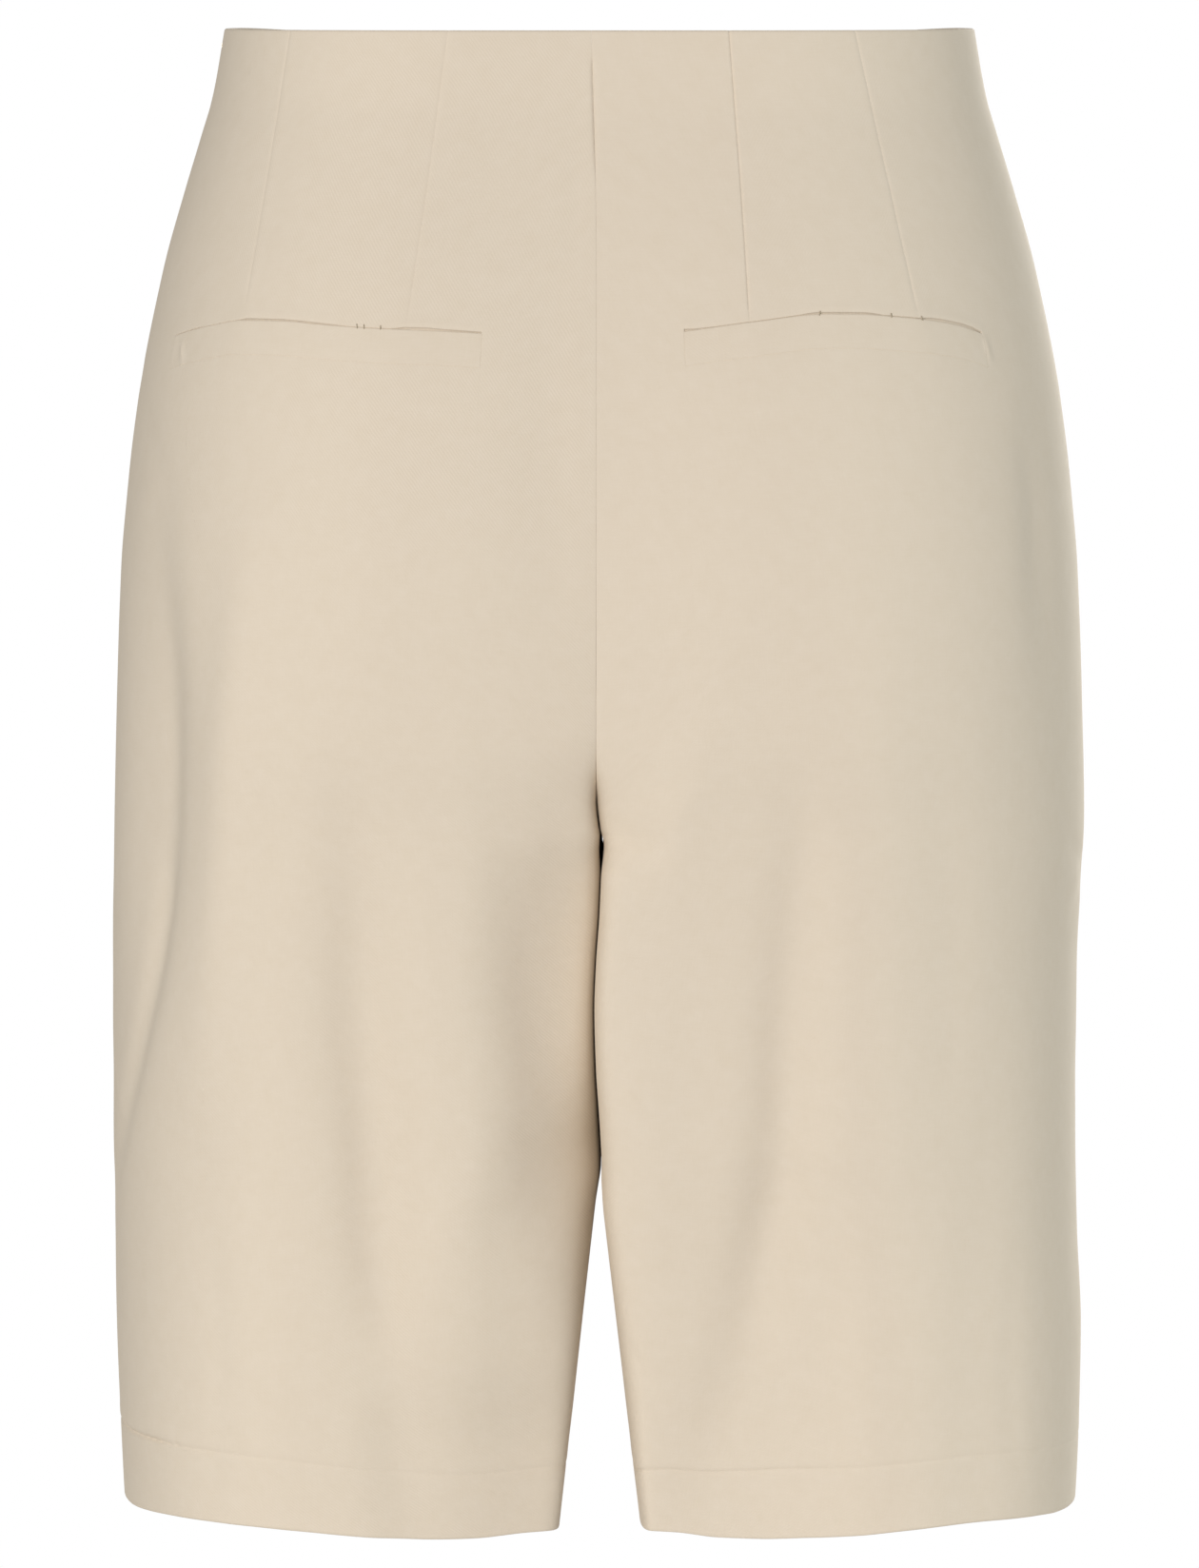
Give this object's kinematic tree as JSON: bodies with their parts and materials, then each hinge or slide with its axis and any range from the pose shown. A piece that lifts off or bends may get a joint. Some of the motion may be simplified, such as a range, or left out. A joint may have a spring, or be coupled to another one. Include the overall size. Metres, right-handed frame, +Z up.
{
  "type": "bermuda shorts",
  "caption": "High-waisted tailored bermuda shorts, filled out as worn, with long back darts, welt pockets and a side zip.",
  "frame": {"origin": "centre of the waist opening, level with its top edge at the back", "axes": "+Z up, -Y towards the wearer's front, +X towards the wearer's left"},
  "size_m": [0.3545, 0.26, 0.542],
  "materials": {
    "suiting": "smooth matt twill suiting",
    "pocketing": "plain matt pocketing and zip tape",
    "nickel": "satin nickel plate"
  },
  "bodies": {
    "garment": {"back_left": "suiting", "back_right": "suiting", "front_left": "suiting", "front_right": "suiting", "welt_left": "suiting", "welt_right": "suiting", "pocket_bag_left": "pocketing", "pocket_bag_right": "pocketing", "zip_tape": "pocketing", "zip_slider": "nickel"},
    "pull": {"zip_pull": "nickel"}
  },
  "joints": [
    {"name": "pull_swing", "type": "hinge", "parent": "garment", "child": "pull", "pos_m": [0.1374, -0.03261, -0.00664], "axis": [-0.2306, -0.9731, 0], "range_deg": [0, 165]}
  ]
}
